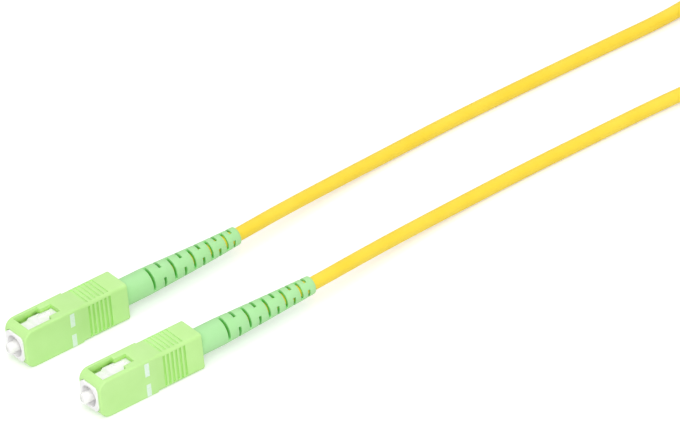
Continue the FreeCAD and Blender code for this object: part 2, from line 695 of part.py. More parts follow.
def cable_coil():
    """Outer shape of the wound spare cable."""
    body = new_body("cable_coil", ("coil_centre_x", "coil_centre_y", "0"))
    section = new_sketch(body, "cable_coil_section", "XZ_Plane")
    add_rectangle(section, (COIL_HOLE, COIL_FLOOR), (COIL_RIM, COIL_TOP))
    feature = body.newObject("PartDesign::Revolution", "cable_coil_turn")
    feature.Profile = section
    feature.ReferenceAxis = (section, ["V_Axis"])
    round_edges(body, "cable_coil_edges", "cable_diameter / 2 - fit_clearance",
                lambda middle, edge: edge.Curve.TypeId == "Part::GeomCircle")


def coil_tie():
    """Strap closed round the coil's turns, lying flat on the floor."""
    body = new_body("coil_tie", ("coil_centre_x", "coil_centre_y", "0"))
    hole_at_strap_edge = f"sqrt({COIL_HOLE}^2 - (tie_width / 2)^2)"
    inner_low, inner_high = f"({hole_at_strap_edge} - fit_clearance)", f"({COIL_RIM} + fit_clearance)"
    outer_low, outer_high = f"({inner_low} - tie_thickness)", f"({inner_high} + tie_thickness)"
    inner_top = f"({COIL_TOP} + fit_clearance)"
    loop = new_sketch(body, "coil_tie_loop", "XZ_Plane")
    add_rectangle(loop, (outer_low, "0"), (outer_high, f"{inner_top} + tie_thickness"))
    pad(body, loop, "tie_width", both_ways=True)
    inside = new_sketch(body, "coil_tie_inside", "XZ_Plane")
    add_rectangle(inside, (inner_low, "tie_thickness"), (inner_high, inner_top))
    pocket(body, inside)

    def across_at(middle, edge, sides):
        straight = edge.Curve.TypeId == "Part::GeomLine" and near(abs(edge.Curve.Direction.y), "1")
        return straight and any(near(middle.x, side) for side in sides)

    round_edges(body, "coil_tie_outer", "tie_corner",
                lambda middle, edge: across_at(middle, edge, (outer_low, outer_high)))
    round_edges(body, "coil_tie_inner", "tie_corner - tie_thickness",
                lambda middle, edge: across_at(middle, edge, (inner_low, inner_high)))


for plug_end in "ab":
    grip_housing(plug_end)
    plug_frame(plug_end)
    ferrule(plug_end)
    ferrule_flange(plug_end)
    ferrule_spring(plug_end)
    stop_ring(plug_end)
    aramid_yarn(plug_end)
    crimp_sleeve(plug_end)
    buffered_fibre(plug_end)
    cable_end(plug_end)
    boot(plug_end)
cable_coil()
coil_tie()
bottom_layer = value(f"{COIL_FLOOR} + cable_diameter / 2")
top_layer = value(f"{COIL_TOP} - cable_diameter / 2")
lead_length = cable_lead("a", 1, bottom_layer) + cable_lead("b", -1, top_layer)
doc.recompute()
print("leads together", round(lead_length, 1))

for item in doc.Objects:
    if "Invalid" in item.State or "Error" in item.State:
        raise RuntimeError(f"{item.Name} failed: {item.State}")
for part in sub_parts:
    if part.Shape.isNull() or not part.Shape.isValid() or len(part.Shape.Solids) != 1:
        raise RuntimeError(f"{part.Label} is not one valid solid")

os.makedirs("parts", exist_ok=True)
for part in sub_parts:
    part.Shape.exportStep(f"parts/{part.Label}.step")
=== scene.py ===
import bmesh
import bpy
import json
import math
from mathutils import Matrix, Quaternion, Vector


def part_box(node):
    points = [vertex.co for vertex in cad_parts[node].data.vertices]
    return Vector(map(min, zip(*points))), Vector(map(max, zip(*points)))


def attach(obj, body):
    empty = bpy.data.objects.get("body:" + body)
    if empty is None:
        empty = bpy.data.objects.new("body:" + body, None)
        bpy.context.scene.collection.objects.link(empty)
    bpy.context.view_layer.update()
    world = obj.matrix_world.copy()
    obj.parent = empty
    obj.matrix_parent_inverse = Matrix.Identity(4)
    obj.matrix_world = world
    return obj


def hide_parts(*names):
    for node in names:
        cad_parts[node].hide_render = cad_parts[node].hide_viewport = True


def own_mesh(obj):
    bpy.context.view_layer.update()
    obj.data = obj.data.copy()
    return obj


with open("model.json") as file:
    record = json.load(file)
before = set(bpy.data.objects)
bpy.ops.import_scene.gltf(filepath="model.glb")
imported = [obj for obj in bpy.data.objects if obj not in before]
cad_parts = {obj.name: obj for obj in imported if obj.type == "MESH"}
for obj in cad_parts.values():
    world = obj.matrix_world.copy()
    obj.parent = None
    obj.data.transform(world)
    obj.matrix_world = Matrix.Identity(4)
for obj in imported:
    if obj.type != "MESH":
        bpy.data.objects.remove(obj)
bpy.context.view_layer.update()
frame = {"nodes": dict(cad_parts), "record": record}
nodes = frame["nodes"]
scene = bpy.context.scene
plugEnds = ("a", "b")  # a lies further from the camera
print("frame loaded with", len(nodes), "nodes")


def plugOrigin(end):
    # middle of the grip's front, from the grip's box and the boot's axis
    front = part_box("grip_housing_" + end)[0].x
    low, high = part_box("boot_" + end)
    return Vector((front, (low.y + high.y) / 2, (low.z + high.z) / 2))


def addObject(name, data):
    made = bpy.data.objects.new(name, data)
    scene.collection.objects.link(made)
    return made


# camera at the photograph's angle

photoView = {
    "target": (0.050315, 0.004859, 0.0045),  # what the middle of the picture shows
    "azimuth": -33.116,
    "elevation": 34.488,
    "roll": -6.017,
    "span": 0.141455,  # width of the picture at the target
    "lens": 1000.0,
    "sensor": 36.0,
    "farClip": 4.0,  # in distances to the target
}


def makeCamera():
    view = photoView
    azimuth = math.radians(view["azimuth"])
    elevation = math.radians(view["elevation"])
    towards = Vector((math.sin(azimuth) * math.cos(elevation),
                      -math.cos(azimuth) * math.cos(elevation), math.sin(elevation)))
    distance = view["lens"] / view["sensor"] * view["span"]
    lensData = bpy.data.cameras.new("photoCamera")
    lensData.lens = view["lens"]
    lensData.sensor_width = view["sensor"]
    lensData.clip_end = distance * view["farClip"]
    camera = addObject("photoCamera", lensData)
    camera.location = Vector(view["target"]) + towards * distance
    camera.rotation_mode = "QUATERNION"
    upright = (-towards).to_track_quat("-Z", "Y")
    camera.rotation_quaternion = upright @ Quaternion((0, 0, 1), math.radians(view["roll"]))
    scene.camera = camera


makeCamera()
print("camera placed")


# finishes

noiseSpan = (0.3, 0.7)  # most of a noise texture's values lie between these


def shade(red, green, blue):
    # a screen colour as the linear one that sockets take, by the sRGB curve
    def linear(level):
        level /= 255
        return level / 12.92 if level <= 0.04045 else ((level + 0.055) / 1.055) ** 2.4
    return linear(red), linear(green), linear(blue), 1.0


def newFinish(name):
    finish = bpy.data.materials.new(name)
    finish.use_nodes = True
    tree = finish.node_tree
    coords = tree.nodes.new("ShaderNodeTexCoord").outputs["Object"]
    return finish, tree, tree.nodes["Principled BSDF"], coords


def addNoise(tree, coords, scale, detail=2.0, stretch=(1, 1, 1)):
    mapping = tree.nodes.new("ShaderNodeMapping")
    mapping.inputs["Scale"].default_value = stretch
    tree.links.new(coords, mapping.inputs["Vector"])
    texture = tree.nodes.new("ShaderNodeTexNoise")
    texture.inputs["Scale"].default_value = scale
    texture.inputs["Detail"].default_value = detail
    tree.links.new(mapping.outputs["Vector"], texture.inputs["Vector"])
    return texture.outputs["Fac"]


def addTint(tree, shader, factor, low, high, span=noiseSpan, deep=None):
    # colour that drifts between two tints, and turns towards a darker colour where a point's painted-shade
    # share is high: painted shade in recesses
    ramp = tree.nodes.new("ShaderNodeValToRGB")
    for element, place, tint in zip(ramp.color_ramp.elements, span, (low, high)):
        element.position = place
        element.color = shade(*tint)
    tree.links.new(factor, ramp.inputs["Fac"])
    colour = ramp.outputs["Color"]
    # the deep colour is painted shade, mixed in by the share that each point got from its depth
    if deep:
        recess = tree.nodes.new("ShaderNodeAttribute")
        recess.attribute_name = "recess"
        mix = tree.nodes.new("ShaderNodeMix")
        mix.data_type = "RGBA"
        share, shallowColour, shadeColour = mix.inputs[0], mix.inputs[6], mix.inputs[7]
        tree.links.new(recess.outputs["Fac"], share)
        tree.links.new(colour, shallowColour)
        shadeColour.default_value = shade(*deep)
        colour = mix.outputs[2]
    tree.links.new(colour, shader.inputs["Base Color"])


def addRoughness(tree, shader, factor, low, high):
    spread = tree.nodes.new("ShaderNodeMapRange")
    spread.inputs["From Min"].default_value = noiseSpan[0]
    spread.inputs["From Max"].default_value = noiseSpan[1]
    spread.inputs["To Min"].default_value = low
    spread.inputs["To Max"].default_value = high
    tree.links.new(factor, spread.inputs["Value"])
    tree.links.new(spread.outputs["Result"], shader.inputs["Roughness"])


def addBump(tree, shader, height, depth):
    bump = tree.nodes.new("ShaderNodeBump")
    bump.inputs["Strength"].default_value = 1.0
    bump.inputs["Distance"].default_value = depth
    tree.links.new(height, bump.inputs["Height"])
    tree.links.new(bump.outputs["Normal"], shader.inputs["Normal"])


def gripPlastic():
    finish, tree, shader, coords = newFinish("gripPlastic")
    flow = addNoise(tree, coords, scale=160)
    # deep is painted shade for the windows and side grooves
    addTint(tree, shader, flow, low=(192, 239, 150), high=(198, 243, 158), deep=(168, 228, 98))
    grain = addNoise(tree, coords, scale=9000, detail=3.0)
    addRoughness(tree, shader, grain, low=0.38, high=0.5)
    addBump(tree, shader, grain, depth=0.000006)
    shader.inputs["IOR"].default_value = 1.5
    shader.inputs["Specular IOR Level"].default_value = 0.4
    return finish


def framePlastic():
    finish, tree, shader, coords = newFinish("framePlastic")
    flow = addNoise(tree, coords, scale=300)
    addTint(tree, shader, flow, low=(248, 247, 247), high=(253, 252, 252))
    grain = addNoise(tree, coords, scale=8000)
    addRoughness(tree, shader, grain, low=0.26, high=0.38)
    addBump(tree, shader, grain, depth=0.000003)
    return finish


def ferruleCeramic():
    finish, tree, shader, coords = newFinish("ferruleCeramic")
    cloud = addNoise(tree, coords, scale=700)
    addTint(tree, shader, cloud, low=(247, 246, 243), high=(252, 252, 250))
    polish = addNoise(tree, coords, scale=5000, stretch=(6, 1, 1))
    addRoughness(tree, shader, polish, low=0.1, high=0.18)
    shader.inputs["IOR"].default_value = 1.9
    return finish


def bootRubber():
    finish, tree, shader, coords = newFinish("bootRubber")
    flow = addNoise(tree, coords, scale=200, detail=3.0)
    # deep is painted shade in the slots
    addTint(tree, shader, flow, low=(171, 230, 158), high=(179, 233, 168), deep=(44, 214, 36))
    grain = addNoise(tree, coords, scale=7000, detail=3.0)
    addRoughness(tree, shader, grain, low=0.46, high=0.6)
    addBump(tree, shader, grain, depth=0.000008)
    shader.inputs["Specular IOR Level"].default_value = 0.35
    return finish


def cableJacket():
    finish, tree, shader, coords = newFinish("cableJacket")
    flow = addNoise(tree, coords, scale=150, detail=3.0)
    addTint(tree, shader, flow, low=(250, 217, 52), high=(253, 224, 68))
    grain = addNoise(tree, coords, scale=4200, detail=3.0)
    addRoughness(tree, shader, grain, low=0.4, high=0.54)
    addBump(tree, shader, grain, depth=0.00001)
    shader.inputs["Specular IOR Level"].default_value = 0.4
    return finish


def platedMetal():
    finish, tree, shader, coords = newFinish("platedMetal")
    lathe = addNoise(tree, coords, scale=2500, stretch=(8, 1, 1))
    addTint(tree, shader, lathe, low=(196, 193, 184), high=(214, 211, 203))
    addRoughness(tree, shader, lathe, low=0.2, high=0.36)
    addBump(tree, shader, lathe, depth=0.000004)
    shader.inputs["Metallic"].default_value = 1.0
    return finish


def springWire():
    finish, tree, shader, coords = newFinish("springWire")
    drawn = addNoise(tree, coords, scale=6000, stretch=(1, 5, 5))
    addTint(tree, shader, drawn, low=(158, 161, 166), high=(182, 184, 188))
    addRoughness(tree, shader, drawn, low=0.25, high=0.42)
    shader.inputs["Metallic"].default_value = 1.0
    return finish


def crimpMetal():
    finish, tree, shader, coords = newFinish("crimpMetal")
    scuff = addNoise(tree, coords, scale=1800, detail=4.0)
    addTint(tree, shader, scuff, low=(182, 184, 187), high=(204, 206, 208))
    addRoughness(tree, shader, scuff, low=0.32, high=0.52)
    addBump(tree, shader, scuff, depth=0.000008)
    shader.inputs["Metallic"].default_value = 1.0
    return finish


def aramidYarn():
    finish, tree, shader, coords = newFinish("aramidYarn")
    strands = addNoise(tree, coords, scale=9000, stretch=(0.05, 1, 1))
    addTint(tree, shader, strands, low=(205, 168, 62), high=(238, 208, 110))
    addRoughness(tree, shader, strands, low=0.5, high=0.7)
    addBump(tree, shader, strands, depth=0.00003)
    return finish


def fibreBuffer():
    finish, tree, shader, coords = newFinish("fibreBuffer")
    flow = addNoise(tree, coords, scale=900)
    addTint(tree, shader, flow, low=(238, 238, 236), high=(248, 248, 247))
    addRoughness(tree, shader, flow, low=0.25, high=0.38)
    return finish


def printedWhite():
    finish, tree, shader, coords = newFinish("printedWhite")
    cover = addNoise(tree, coords, scale=2600, detail=4.0)
    addTint(tree, shader, cover, low=(214, 242, 214), high=(232, 248, 236), span=(0.25, 0.6))
    addRoughness(tree, shader, cover, low=0.42, high=0.55)
    addBump(tree, shader, cover, depth=0.000004)
    return finish


def strapFabric():
    finish, tree, shader, coords = newFinish("strapFabric")
    pile = addNoise(tree, coords, scale=3600, detail=4.0)
    addTint(tree, shader, pile, low=(30, 30, 33), high=(66, 66, 70), span=(0.35, 0.65))
    addRoughness(tree, shader, pile, low=0.75, high=0.95)
    addBump(tree, shader, pile, depth=0.00012)
    shader.inputs["Sheen Weight"].default_value = 0.35
    shader.inputs["Sheen Roughness"].default_value = 0.5
    return finish


finishes = {
    "grip_plastic": gripPlastic(),
    "frame_plastic": framePlastic(),
    "ferrule_ceramic": ferruleCeramic(),
    "plated_metal": platedMetal(),
    "spring_steel": springWire(),
    "crimp_metal": crimpMetal(),
    "yarn": aramidYarn(),
    "fibre_buffer": fibreBuffer(),
    "boot_rubber": bootRubber(),
    "cable_jacket": cableJacket(),
    "tie_fabric": strapFabric(),
}
markFinish = printedWhite()
for part in frame["record"]["subparts"]:
    coats = nodes[part["node"]].data.materials
    coats.clear()
    coats.append(finishes[part["material_slot"]])
print("finishes made:", len(finishes) + 1)


# mesh helpers

edgeStyle = {
    "bevelSegments": 2,
    "bevelFrom": 40,  # degrees between two faces from which their edge is rounded
    "creaseFrom": 35,  # degrees from which an edge shades sharp
    "mergeWithin": 1e-6,  # corners of a solid's loose triangles that count as one
    "flatWithin": 0.5,  # degrees within which its triangles join to one face
}


def shellObject(name, vertices, faces):
    mesh = bpy.data.meshes.new(name)
    mesh.from_pydata(vertices, [], faces)
    return addObject(name, mesh)


def evaluatedMesh(piece):
    return bpy.data.meshes.new_from_object(piece.evaluated_get(bpy.context.evaluated_depsgraph_get()))


def settle(piece):
    # turn live modifiers into a plain mesh
    made = evaluatedMesh(piece)
    piece.modifiers.clear()
    old = piece.data
    piece.data = made
    bpy.data.meshes.remove(old)
    made.name = piece.name


def recalcNormals(mesh):
    work = bmesh.new()
    work.from_mesh(mesh)
    bmesh.ops.recalc_face_normals(work, faces=work.faces)
    work.to_mesh(mesh)
    work.free()


def smoothShading(mesh, creaseFrom=edgeStyle["creaseFrom"]):
    mesh.shade_smooth()
    mesh.set_sharp_from_angle(angle=math.radians(creaseFrom))


def softenEdges(piece, width):
    bevel = piece.modifiers.new("edges", "BEVEL")
    bevel.width = width
    bevel.segments = edgeStyle["bevelSegments"]
    bevel.limit_method = "ANGLE"
    bevel.angle_limit = math.radians(edgeStyle["bevelFrom"])
    bevel.harden_normals = False
    settle(piece)


def mergedCopy(node, name):
    # a solid's mesh with its loose triangles joined, as a piece of its own
    mesh = nodes[node].data.copy()
    if "custom_normal" in mesh.attributes:
        mesh.attributes.remove(mesh.attributes["custom_normal"])
    work = bmesh.new()
    work.from_mesh(mesh)
    bmesh.ops.remove_doubles(work, verts=work.verts, dist=edgeStyle["mergeWithin"])
    bmesh.ops.dissolve_limit(work, angle_limit=math.radians(edgeStyle["flatWithin"]),
                             verts=work.verts, edges=work.edges)
    work.to_mesh(mesh)
    work.free()
    return addObject(name, mesh)


def markPaintedShade(mesh, depthAt, deepest):
    # share of painted shade at each point, from how deep it lies under the piece's outer form, from 0 to 1
    layer = mesh.attributes.new("recess", "FLOAT", "POINT")
    for vertex in mesh.vertices:
        layer.data[vertex.index].value = min(1, max(0, depthAt(vertex.co) / deepest))


# the cable: one line from boot a, through the coil, to boot b

cableRoute = {
    "diameter": 0.003,
    "length": 0.94,
    "leadA": [(0.0011, 0.0122, 0.0045), (0.0111, 0.0122, 0.0045), (0.0206, 0.0122, 0.0045),
              (0.03023, 0.01267, 0.00445), (0.04092, 0.0141, 0.004), (0.05497, 0.01606, 0.00285),
              (0.07118, 0.01789, 0.00175), (0.08947, 0.0188, 0.0015), (0.10881, 0.01872, 0.0015),
              (0.12893, 0.01838, 0.0015), (0.149, 0.01775, 0.0016)],
    "leadB": [(0.0019, -0.013, 0.0045), (0.0119, -0.013, 0.0045), (0.0214, -0.0128, 0.0045),
              (0.03092, -0.01256, 0.00445), (0.04158, -0.01123, 0.004), (0.05549, -0.00907, 0.00285),
              (0.07166, -0.00726, 0.00175), (0.08989, -0.0065, 0.0015), (0.10837, -0.00651, 0.0015),
              (0.12608, -0.00667, 0.0016), (0.1436, -0.009, 0.0025)],
    "splineOrder": 3,
    "pointWeight": 0.75,  # a point's own pull on a spline of that order, its neighbours having the rest
    "splineSteps": 6,
    "roundSteps": 8,
}
cableCoil = {
    "outerRadius": 0.0216,
    "innerRadius": 0.0131,
    "lowLayer": 0.00235,
    "highLayer": 0.00535,
    "entryAngle": 98.4,  # where lead a runs on to the outer turn
    "exitAngle": -126.4,
    "wholeTurns": 5,
    "pointsPerTurn": 24,
    "climbTurns": 0.6,  # how far round the inner turn takes to reach the upper layer
}


def coilPoints():
    # inwards on the low layer, up a layer on the inner turn and outwards again
    coil = cableCoil
    low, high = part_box("cable_coil")
    centreX, centreY = (low.x + high.x) / 2, (low.y + high.y) / 2
    turns = coil["wholeTurns"] + (coil["entryAngle"] - coil["exitAngle"]) / 360
    steps = round(turns * coil["pointsPerTurn"])
    weight = cableRoute["pointWeight"]
    shrink = weight + (1 - weight) * math.cos(math.tau * turns / steps)  # the spline runs inside its points
    points = []
    for step in range(steps + 1):
        share = step / steps
        inward = 1 - abs(2 * share - 1)
        radius = coil["outerRadius"] + (coil["innerRadius"] - coil["outerRadius"]) * inward
        angle = math.radians(coil["entryAngle"]) - math.tau * turns * share
        climb = min(1, max(0, (share - 0.5) * turns / coil["climbTurns"] + 0.5))
        climb = climb * climb * (3 - 2 * climb)  # eased at both ends
        height = coil["lowLayer"] + (coil["highLayer"] - coil["lowLayer"]) * climb
        points.append((centreX + radius / shrink * math.cos(angle),
                       centreY + radius / shrink * math.sin(angle), height))
    return points


def makeCable():
    line = bpy.data.curves.new("fibreCable", "CURVE")
    line.dimensions = "3D"
    route = cableRoute["leadA"] + coilPoints() + cableRoute["leadB"][::-1]
    spline = line.splines.new("NURBS")
    spline.points.add(len(route) - 1)
    for point, place in zip(spline.points, route):
        point.co = (*place, 1)
    spline.order_u = cableRoute["splineOrder"]
    spline.use_endpoint_u = True
    spline.resolution_u = cableRoute["splineSteps"]
    piece = addObject("fibreCable", line)
    bare = evaluatedMesh(piece)
    middle = [vertex.co.copy() for vertex in bare.vertices]
    bpy.data.meshes.remove(bare)
    line.bevel_depth = cableRoute["diameter"] / 2
    line.bevel_resolution = cableRoute["roundSteps"]
    line.use_fill_caps = True
    line.materials.append(finishes["cable_jacket"])
    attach(piece, "cable")
    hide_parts("cable_end_a", "cable_lead_a", "cable_coil", "cable_lead_b", "cable_end_b")
    return piece, middle


# boots: a turned body, its slots cut by one Geometry Nodes tree, then bent to follow the cable

bootShape = {
    "start": 0.0173,  # distances from the grip's front
    "shoulder": 0.0249,
    "taperStart": 0.0331,
    "end": 0.057,
    "neckRadius": 0.00275,
    "smoothRadius": 0.00295,
    "endRadius": 0.00199,
    "endRound": 0.0003,
    "endRoundSteps": 4,
    "boreRadius": 0.00155,
    "socket": [(0.0173, 0.00242), (0.02205, 0.00242), (0.02305, 0.0019), (0.02635, 0.0019),
               (0.02635, 0.00155)],  # widened bore over the crimp sleeve
    "columns": 96,
    "slotFirst": 0.0336,
    "slotLast": 0.05505,
    "slotRatio": 0.95,  # each gap over the one before it
    "slotCount": 10,
    "slotWidth": 0.00066,
    "slotTurn": 48.5,
    "hingeAngle": 49.0,  # rubber left between the two slots of a ring
    "cutterReach": (0.9, 1.25),  # cutters run from inside the bore to outside the rubber
    "cutterSteps": 24,
    "rimRound": 0.00007,
    "fullShadeAt": 0.0008,  # depth in a slot at which the painted shade on the rubber is full
    "bendGuide": 0.05,  # the cable's points up to this X steer the boots
}


def turnedBody(name, origin):
    shape = bootShape
    slope = (shape["smoothRadius"] - shape["endRadius"]) / (shape["end"] - shape["taperStart"])
    outer = [(shape["start"], shape["neckRadius"]), (shape["shoulder"], shape["neckRadius"]),
             (shape["shoulder"], shape["smoothRadius"]), (shape["taperStart"], shape["smoothRadius"])]
    roundMiddle = shape["endRadius"] + slope * shape["endRound"] - shape["endRound"]
    for step in range(shape["endRoundSteps"] + 1):
        angle = math.pi / 2 * step / shape["endRoundSteps"]
        outer.append((shape["end"] - shape["endRound"] * (1 - math.sin(angle)),
                      roundMiddle + shape["endRound"] * math.cos(angle)))
    inner = [(shape["end"], shape["boreRadius"])] + shape["socket"][::-1]
    profile = outer + inner
    columns, rows = shape["columns"], len(profile)
    vertices, faces = [], []
    for column in range(columns):
        angle = math.tau * column / columns
        vertices += [origin + Vector((place, radius * math.cos(angle), radius * math.sin(angle)))
                     for place, radius in profile]
    for column in range(columns):
        here, there = column * rows, (column + 1) % columns * rows
        faces += [(here + row, here + (row + 1) % rows, there + (row + 1) % rows, there + row)
                  for row in range(rows)]
    body = shellObject(name, vertices, faces)
    recalcNormals(body.data)
    return body


def slotCutter(name, centre):
    # two wedges on opposite sides of the axis, as wide as a slot
    shape = bootShape
    inside = shape["boreRadius"] * shape["cutterReach"][0]
    outside = shape["smoothRadius"] * shape["cutterReach"][1]
    half = shape["slotWidth"] / 2
    span = 180 - shape["hingeAngle"]
    steps = shape["cutterSteps"]
    vertices, faces = [], []
    for side in (0, 180):
        base = len(vertices)
        for step in range(steps + 1):
            angle = math.radians(centre + side + span * (step / steps - 0.5))
            for radius in (inside, outside):
                for place in (-half, half):
                    vertices.append((place, radius * math.cos(angle), radius * math.sin(angle)))
        for step in range(steps):
            here, there = base + step * 4, base + step * 4 + 4
            for first, second in ((0, 1), (1, 3), (3, 2), (2, 0)):
                faces.append((here + first, here + second, there + second, there + first))
        last = base + steps * 4
        faces.append((base, base + 2, base + 3, base + 1))
        faces.append((last, last + 1, last + 3, last + 2))
    cutter = shellObject(name, vertices, faces)
    recalcNormals(cutter.data)
    return cutter


def slotTree():
    # inputs for the sizes, a row of cutters with shrinking gaps, and one cut through the body
    tree = bpy.data.node_groups.new("bootSlots", "GeometryNodeTree")
    face = tree.interface
    face.new_socket("Body", in_out="INPUT", socket_type="NodeSocketGeometry")
    for name, kind in (("Plug Origin", "Vector"), ("Even Slots", "Object"), ("Odd Slots", "Object"),
                       ("Slot Count", "Int"), ("First Slot", "Float"), ("Last Slot", "Float"),
                       ("Gap Ratio", "Float"), ("Finish", "Material")):
        face.new_socket(name, in_out="INPUT", socket_type="NodeSocket" + kind)
    face.new_socket("Boot", in_out="OUTPUT", socket_type="NodeSocketGeometry")
    add = tree.nodes.new
    link = tree.links.new
    given = add("NodeGroupInput").outputs

    def maths(operation, first, second):
        node = add("ShaderNodeMath")
        node.operation = operation
        for socket, source in zip(node.inputs, (first, second)):
            if isinstance(source, (int, float)):
                socket.default_value = source
            else:
                link(source, socket)
        return node.outputs[0]

    number = add("GeometryNodeInputIndex").outputs[0]
    lastNumber = maths("SUBTRACT", given["Slot Count"], 1)
    gone = maths("SUBTRACT", 1, maths("POWER", given["Gap Ratio"], number))
    goneInAll = maths("SUBTRACT", 1, maths("POWER", given["Gap Ratio"], lastNumber))
    run = maths("SUBTRACT", given["Last Slot"], given["First Slot"])
    along = maths("ADD", given["First Slot"], maths("MULTIPLY", run, maths("DIVIDE", gone, goneInAll)))
    odd = maths("MODULO", number, 2)

    rings = add("GeometryNodeMeshLine")
    link(given["Slot Count"], rings.inputs["Count"])
    shift = add("ShaderNodeCombineXYZ")
    link(along, shift.inputs["X"])
    onAxis = add("ShaderNodeVectorMath")
    onAxis.operation = "ADD"
    link(given["Plug Origin"], onAxis.inputs[0])
    link(shift.outputs[0], onAxis.inputs[1])
    spaced = add("GeometryNodeSetPosition")
    link(rings.outputs["Mesh"], spaced.inputs["Geometry"])
    link(onAxis.outputs[0], spaced.inputs["Position"])

    cutters = add("GeometryNodeJoinGeometry")
    for name, chosen in (("Even Slots", maths("SUBTRACT", 1, odd)), ("Odd Slots", odd)):
        wedges = add("GeometryNodeObjectInfo")
        link(given[name], wedges.inputs["Object"])
        placed = add("GeometryNodeInstanceOnPoints")
        link(spaced.outputs["Geometry"], placed.inputs["Points"])
        link(chosen, placed.inputs["Selection"])
        link(wedges.outputs["Geometry"], placed.inputs["Instance"])
        link(placed.outputs["Instances"], cutters.inputs["Geometry"])
    loose = add("GeometryNodeRealizeInstances")
    link(cutters.outputs["Geometry"], loose.inputs["Geometry"])
    cut = add("GeometryNodeMeshBoolean")
    cut.operation = "DIFFERENCE"
    cut.solver = "EXACT"
    link(given["Body"], cut.inputs["Mesh 1"])
    link(loose.outputs["Geometry"], cut.inputs["Mesh 2"])
    slotted = add("GeometryNodeRealizeInstances")
    link(cut.outputs["Mesh"], slotted.inputs["Geometry"])
    coat = add("GeometryNodeSetMaterial")
    link(slotted.outputs["Geometry"], coat.inputs["Geometry"])
    link(given["Finish"], coat.inputs["Material"])
    link(coat.outputs["Geometry"], add("NodeGroupOutput").inputs["Boot"])
    return tree


def bootDepth(place):
    # depth under the boot's outer form, from a place about the plug's origin, which sets the painted shade
    shape = bootShape
    taper = (place.x - shape["taperStart"]) / (shape["end"] - shape["taperStart"])
    outside = shape["smoothRadius"] + (shape["endRadius"] - shape["smoothRadius"]) * max(0, taper)
    return min(outside - math.hypot(place.y, place.z), shape["end"] - place.x)


def swayAt(middle, axis, place):
    # how far the cable's middle has left the plug's axis at some distance along it
    before = max((point for point in middle if point.x <= place), key=lambda point: point.x)
    after = min((point for point in middle if point.x > place), key=lambda point: point.x)
    share = (place - before.x) / (after.x - before.x)
    return before.lerp(after, share) - Vector((place, axis.y, axis.z))


def makeBoots(middle):
    shape = bootShape
    tree = slotTree()
    sockets = {item.name: item.identifier for item in tree.interface.items_tree}
    evenCutter = slotCutter("evenSlots", shape["slotTurn"] + 90)
    oddCutter = slotCutter("oddSlots", shape["slotTurn"])
    for end in plugEnds:
        origin = plugOrigin(end)
        boot = turnedBody("slottedBoot_" + end, origin)
        slots = boot.modifiers.new("slots", "NODES")
        slots.node_group = tree
        for name, value in (("Plug Origin", origin), ("Even Slots", evenCutter), ("Odd Slots", oddCutter),
                            ("Slot Count", shape["slotCount"]), ("First Slot", shape["slotFirst"]),
                            ("Last Slot", shape["slotLast"]), ("Gap Ratio", shape["slotRatio"]),
                            ("Finish", finishes["boot_rubber"])):
            slots[sockets[name]] = value
        settle(boot)
        softenEdges(boot, shape["rimRound"])
        # painted shade in the slots, stronger with depth
        markPaintedShade(boot.data, lambda place: bootDepth(place - origin), shape["fullShadeAt"])
        lead = [point for point in middle
                if (point.y > 0) == (end == "a") and point.x < shape["bendGuide"]]
        leadStart = min(point.x for point in lead)
        for vertex in boot.data.vertices:
            if vertex.co.x > leadStart:
                vertex.co += swayAt(lead, origin, vertex.co.x)
        smoothShading(boot.data)
        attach(boot, "cable")
        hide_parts("boot_" + end)
        print("boot", end, "has", len(boot.data.polygons), "faces")
    bpy.data.objects.remove(evenCutter)
    bpy.data.objects.remove(oddCutter)


cable, cableMiddle = makeCable()
print("cable laid through", len(cableMiddle), "points")
makeBoots(cableMiddle)


# strap: a hook and loop tie round the coil, its end pressed down over its start

coilStrap = {
    "thickness": 0.0008,
    "selvedge": 0.0007,  # woven border without pile
    "selvedgeShare": 0.55,  # thickness of that border over the pile's
    "edgeRound": 0.00012,
    "bend": 0.0013,  # radius of the strap's middle at the corners
    "bendSteps": 8,
    "underlap": 0.0045,  # length that the end covers, from the outer side
    "endGap": 0.0024,  # how far the end stops short of the inner side
    "creaseFrom": 30,
}


def strapPath(low, high):
    # the strap's middle in X and Z: over the coil, down inside, below, up outside and over itself
    strap = coilStrap
    half = strap["thickness"] / 2
    inside, outside = low.x + half, high.x - half
    below, above = low.z + half, high.z - half
    second = above + strap["thickness"]
    bend = strap["bend"]
    path = [(outside - strap["underlap"], above)]
    corners = [(inside + bend, above - bend, 90), (inside + bend, below + bend, 180),
               (outside - bend, below + bend, 270), (outside - bend, second - bend, 0)]
    for middleX, middleZ, startAngle in corners:
        for step in range(strap["bendSteps"] + 1):
            angle = math.radians(startAngle + 90 * step / strap["bendSteps"])
            path.append((middleX + bend * math.cos(angle), middleZ + bend * math.sin(angle)))
    path.append((inside + strap["endGap"], second))
    return path


def strapSection(edge):
    # half the width is given, and the pile stands above a thinner border on both faces
    strap = coilStrap
    half, rounding = strap["thickness"] / 2, strap["edgeRound"]
    border = half * strap["selvedgeShare"]
    step = edge - strap["selvedge"]
    outer = [(-edge, border - rounding), (-edge + rounding, border),
             (-step, border), (-step + rounding, half),
             (step - rounding, half), (step, border),
             (edge - rounding, border), (edge, border - rounding)]
    return outer + [(across, -rise) for across, rise in reversed(outer)]


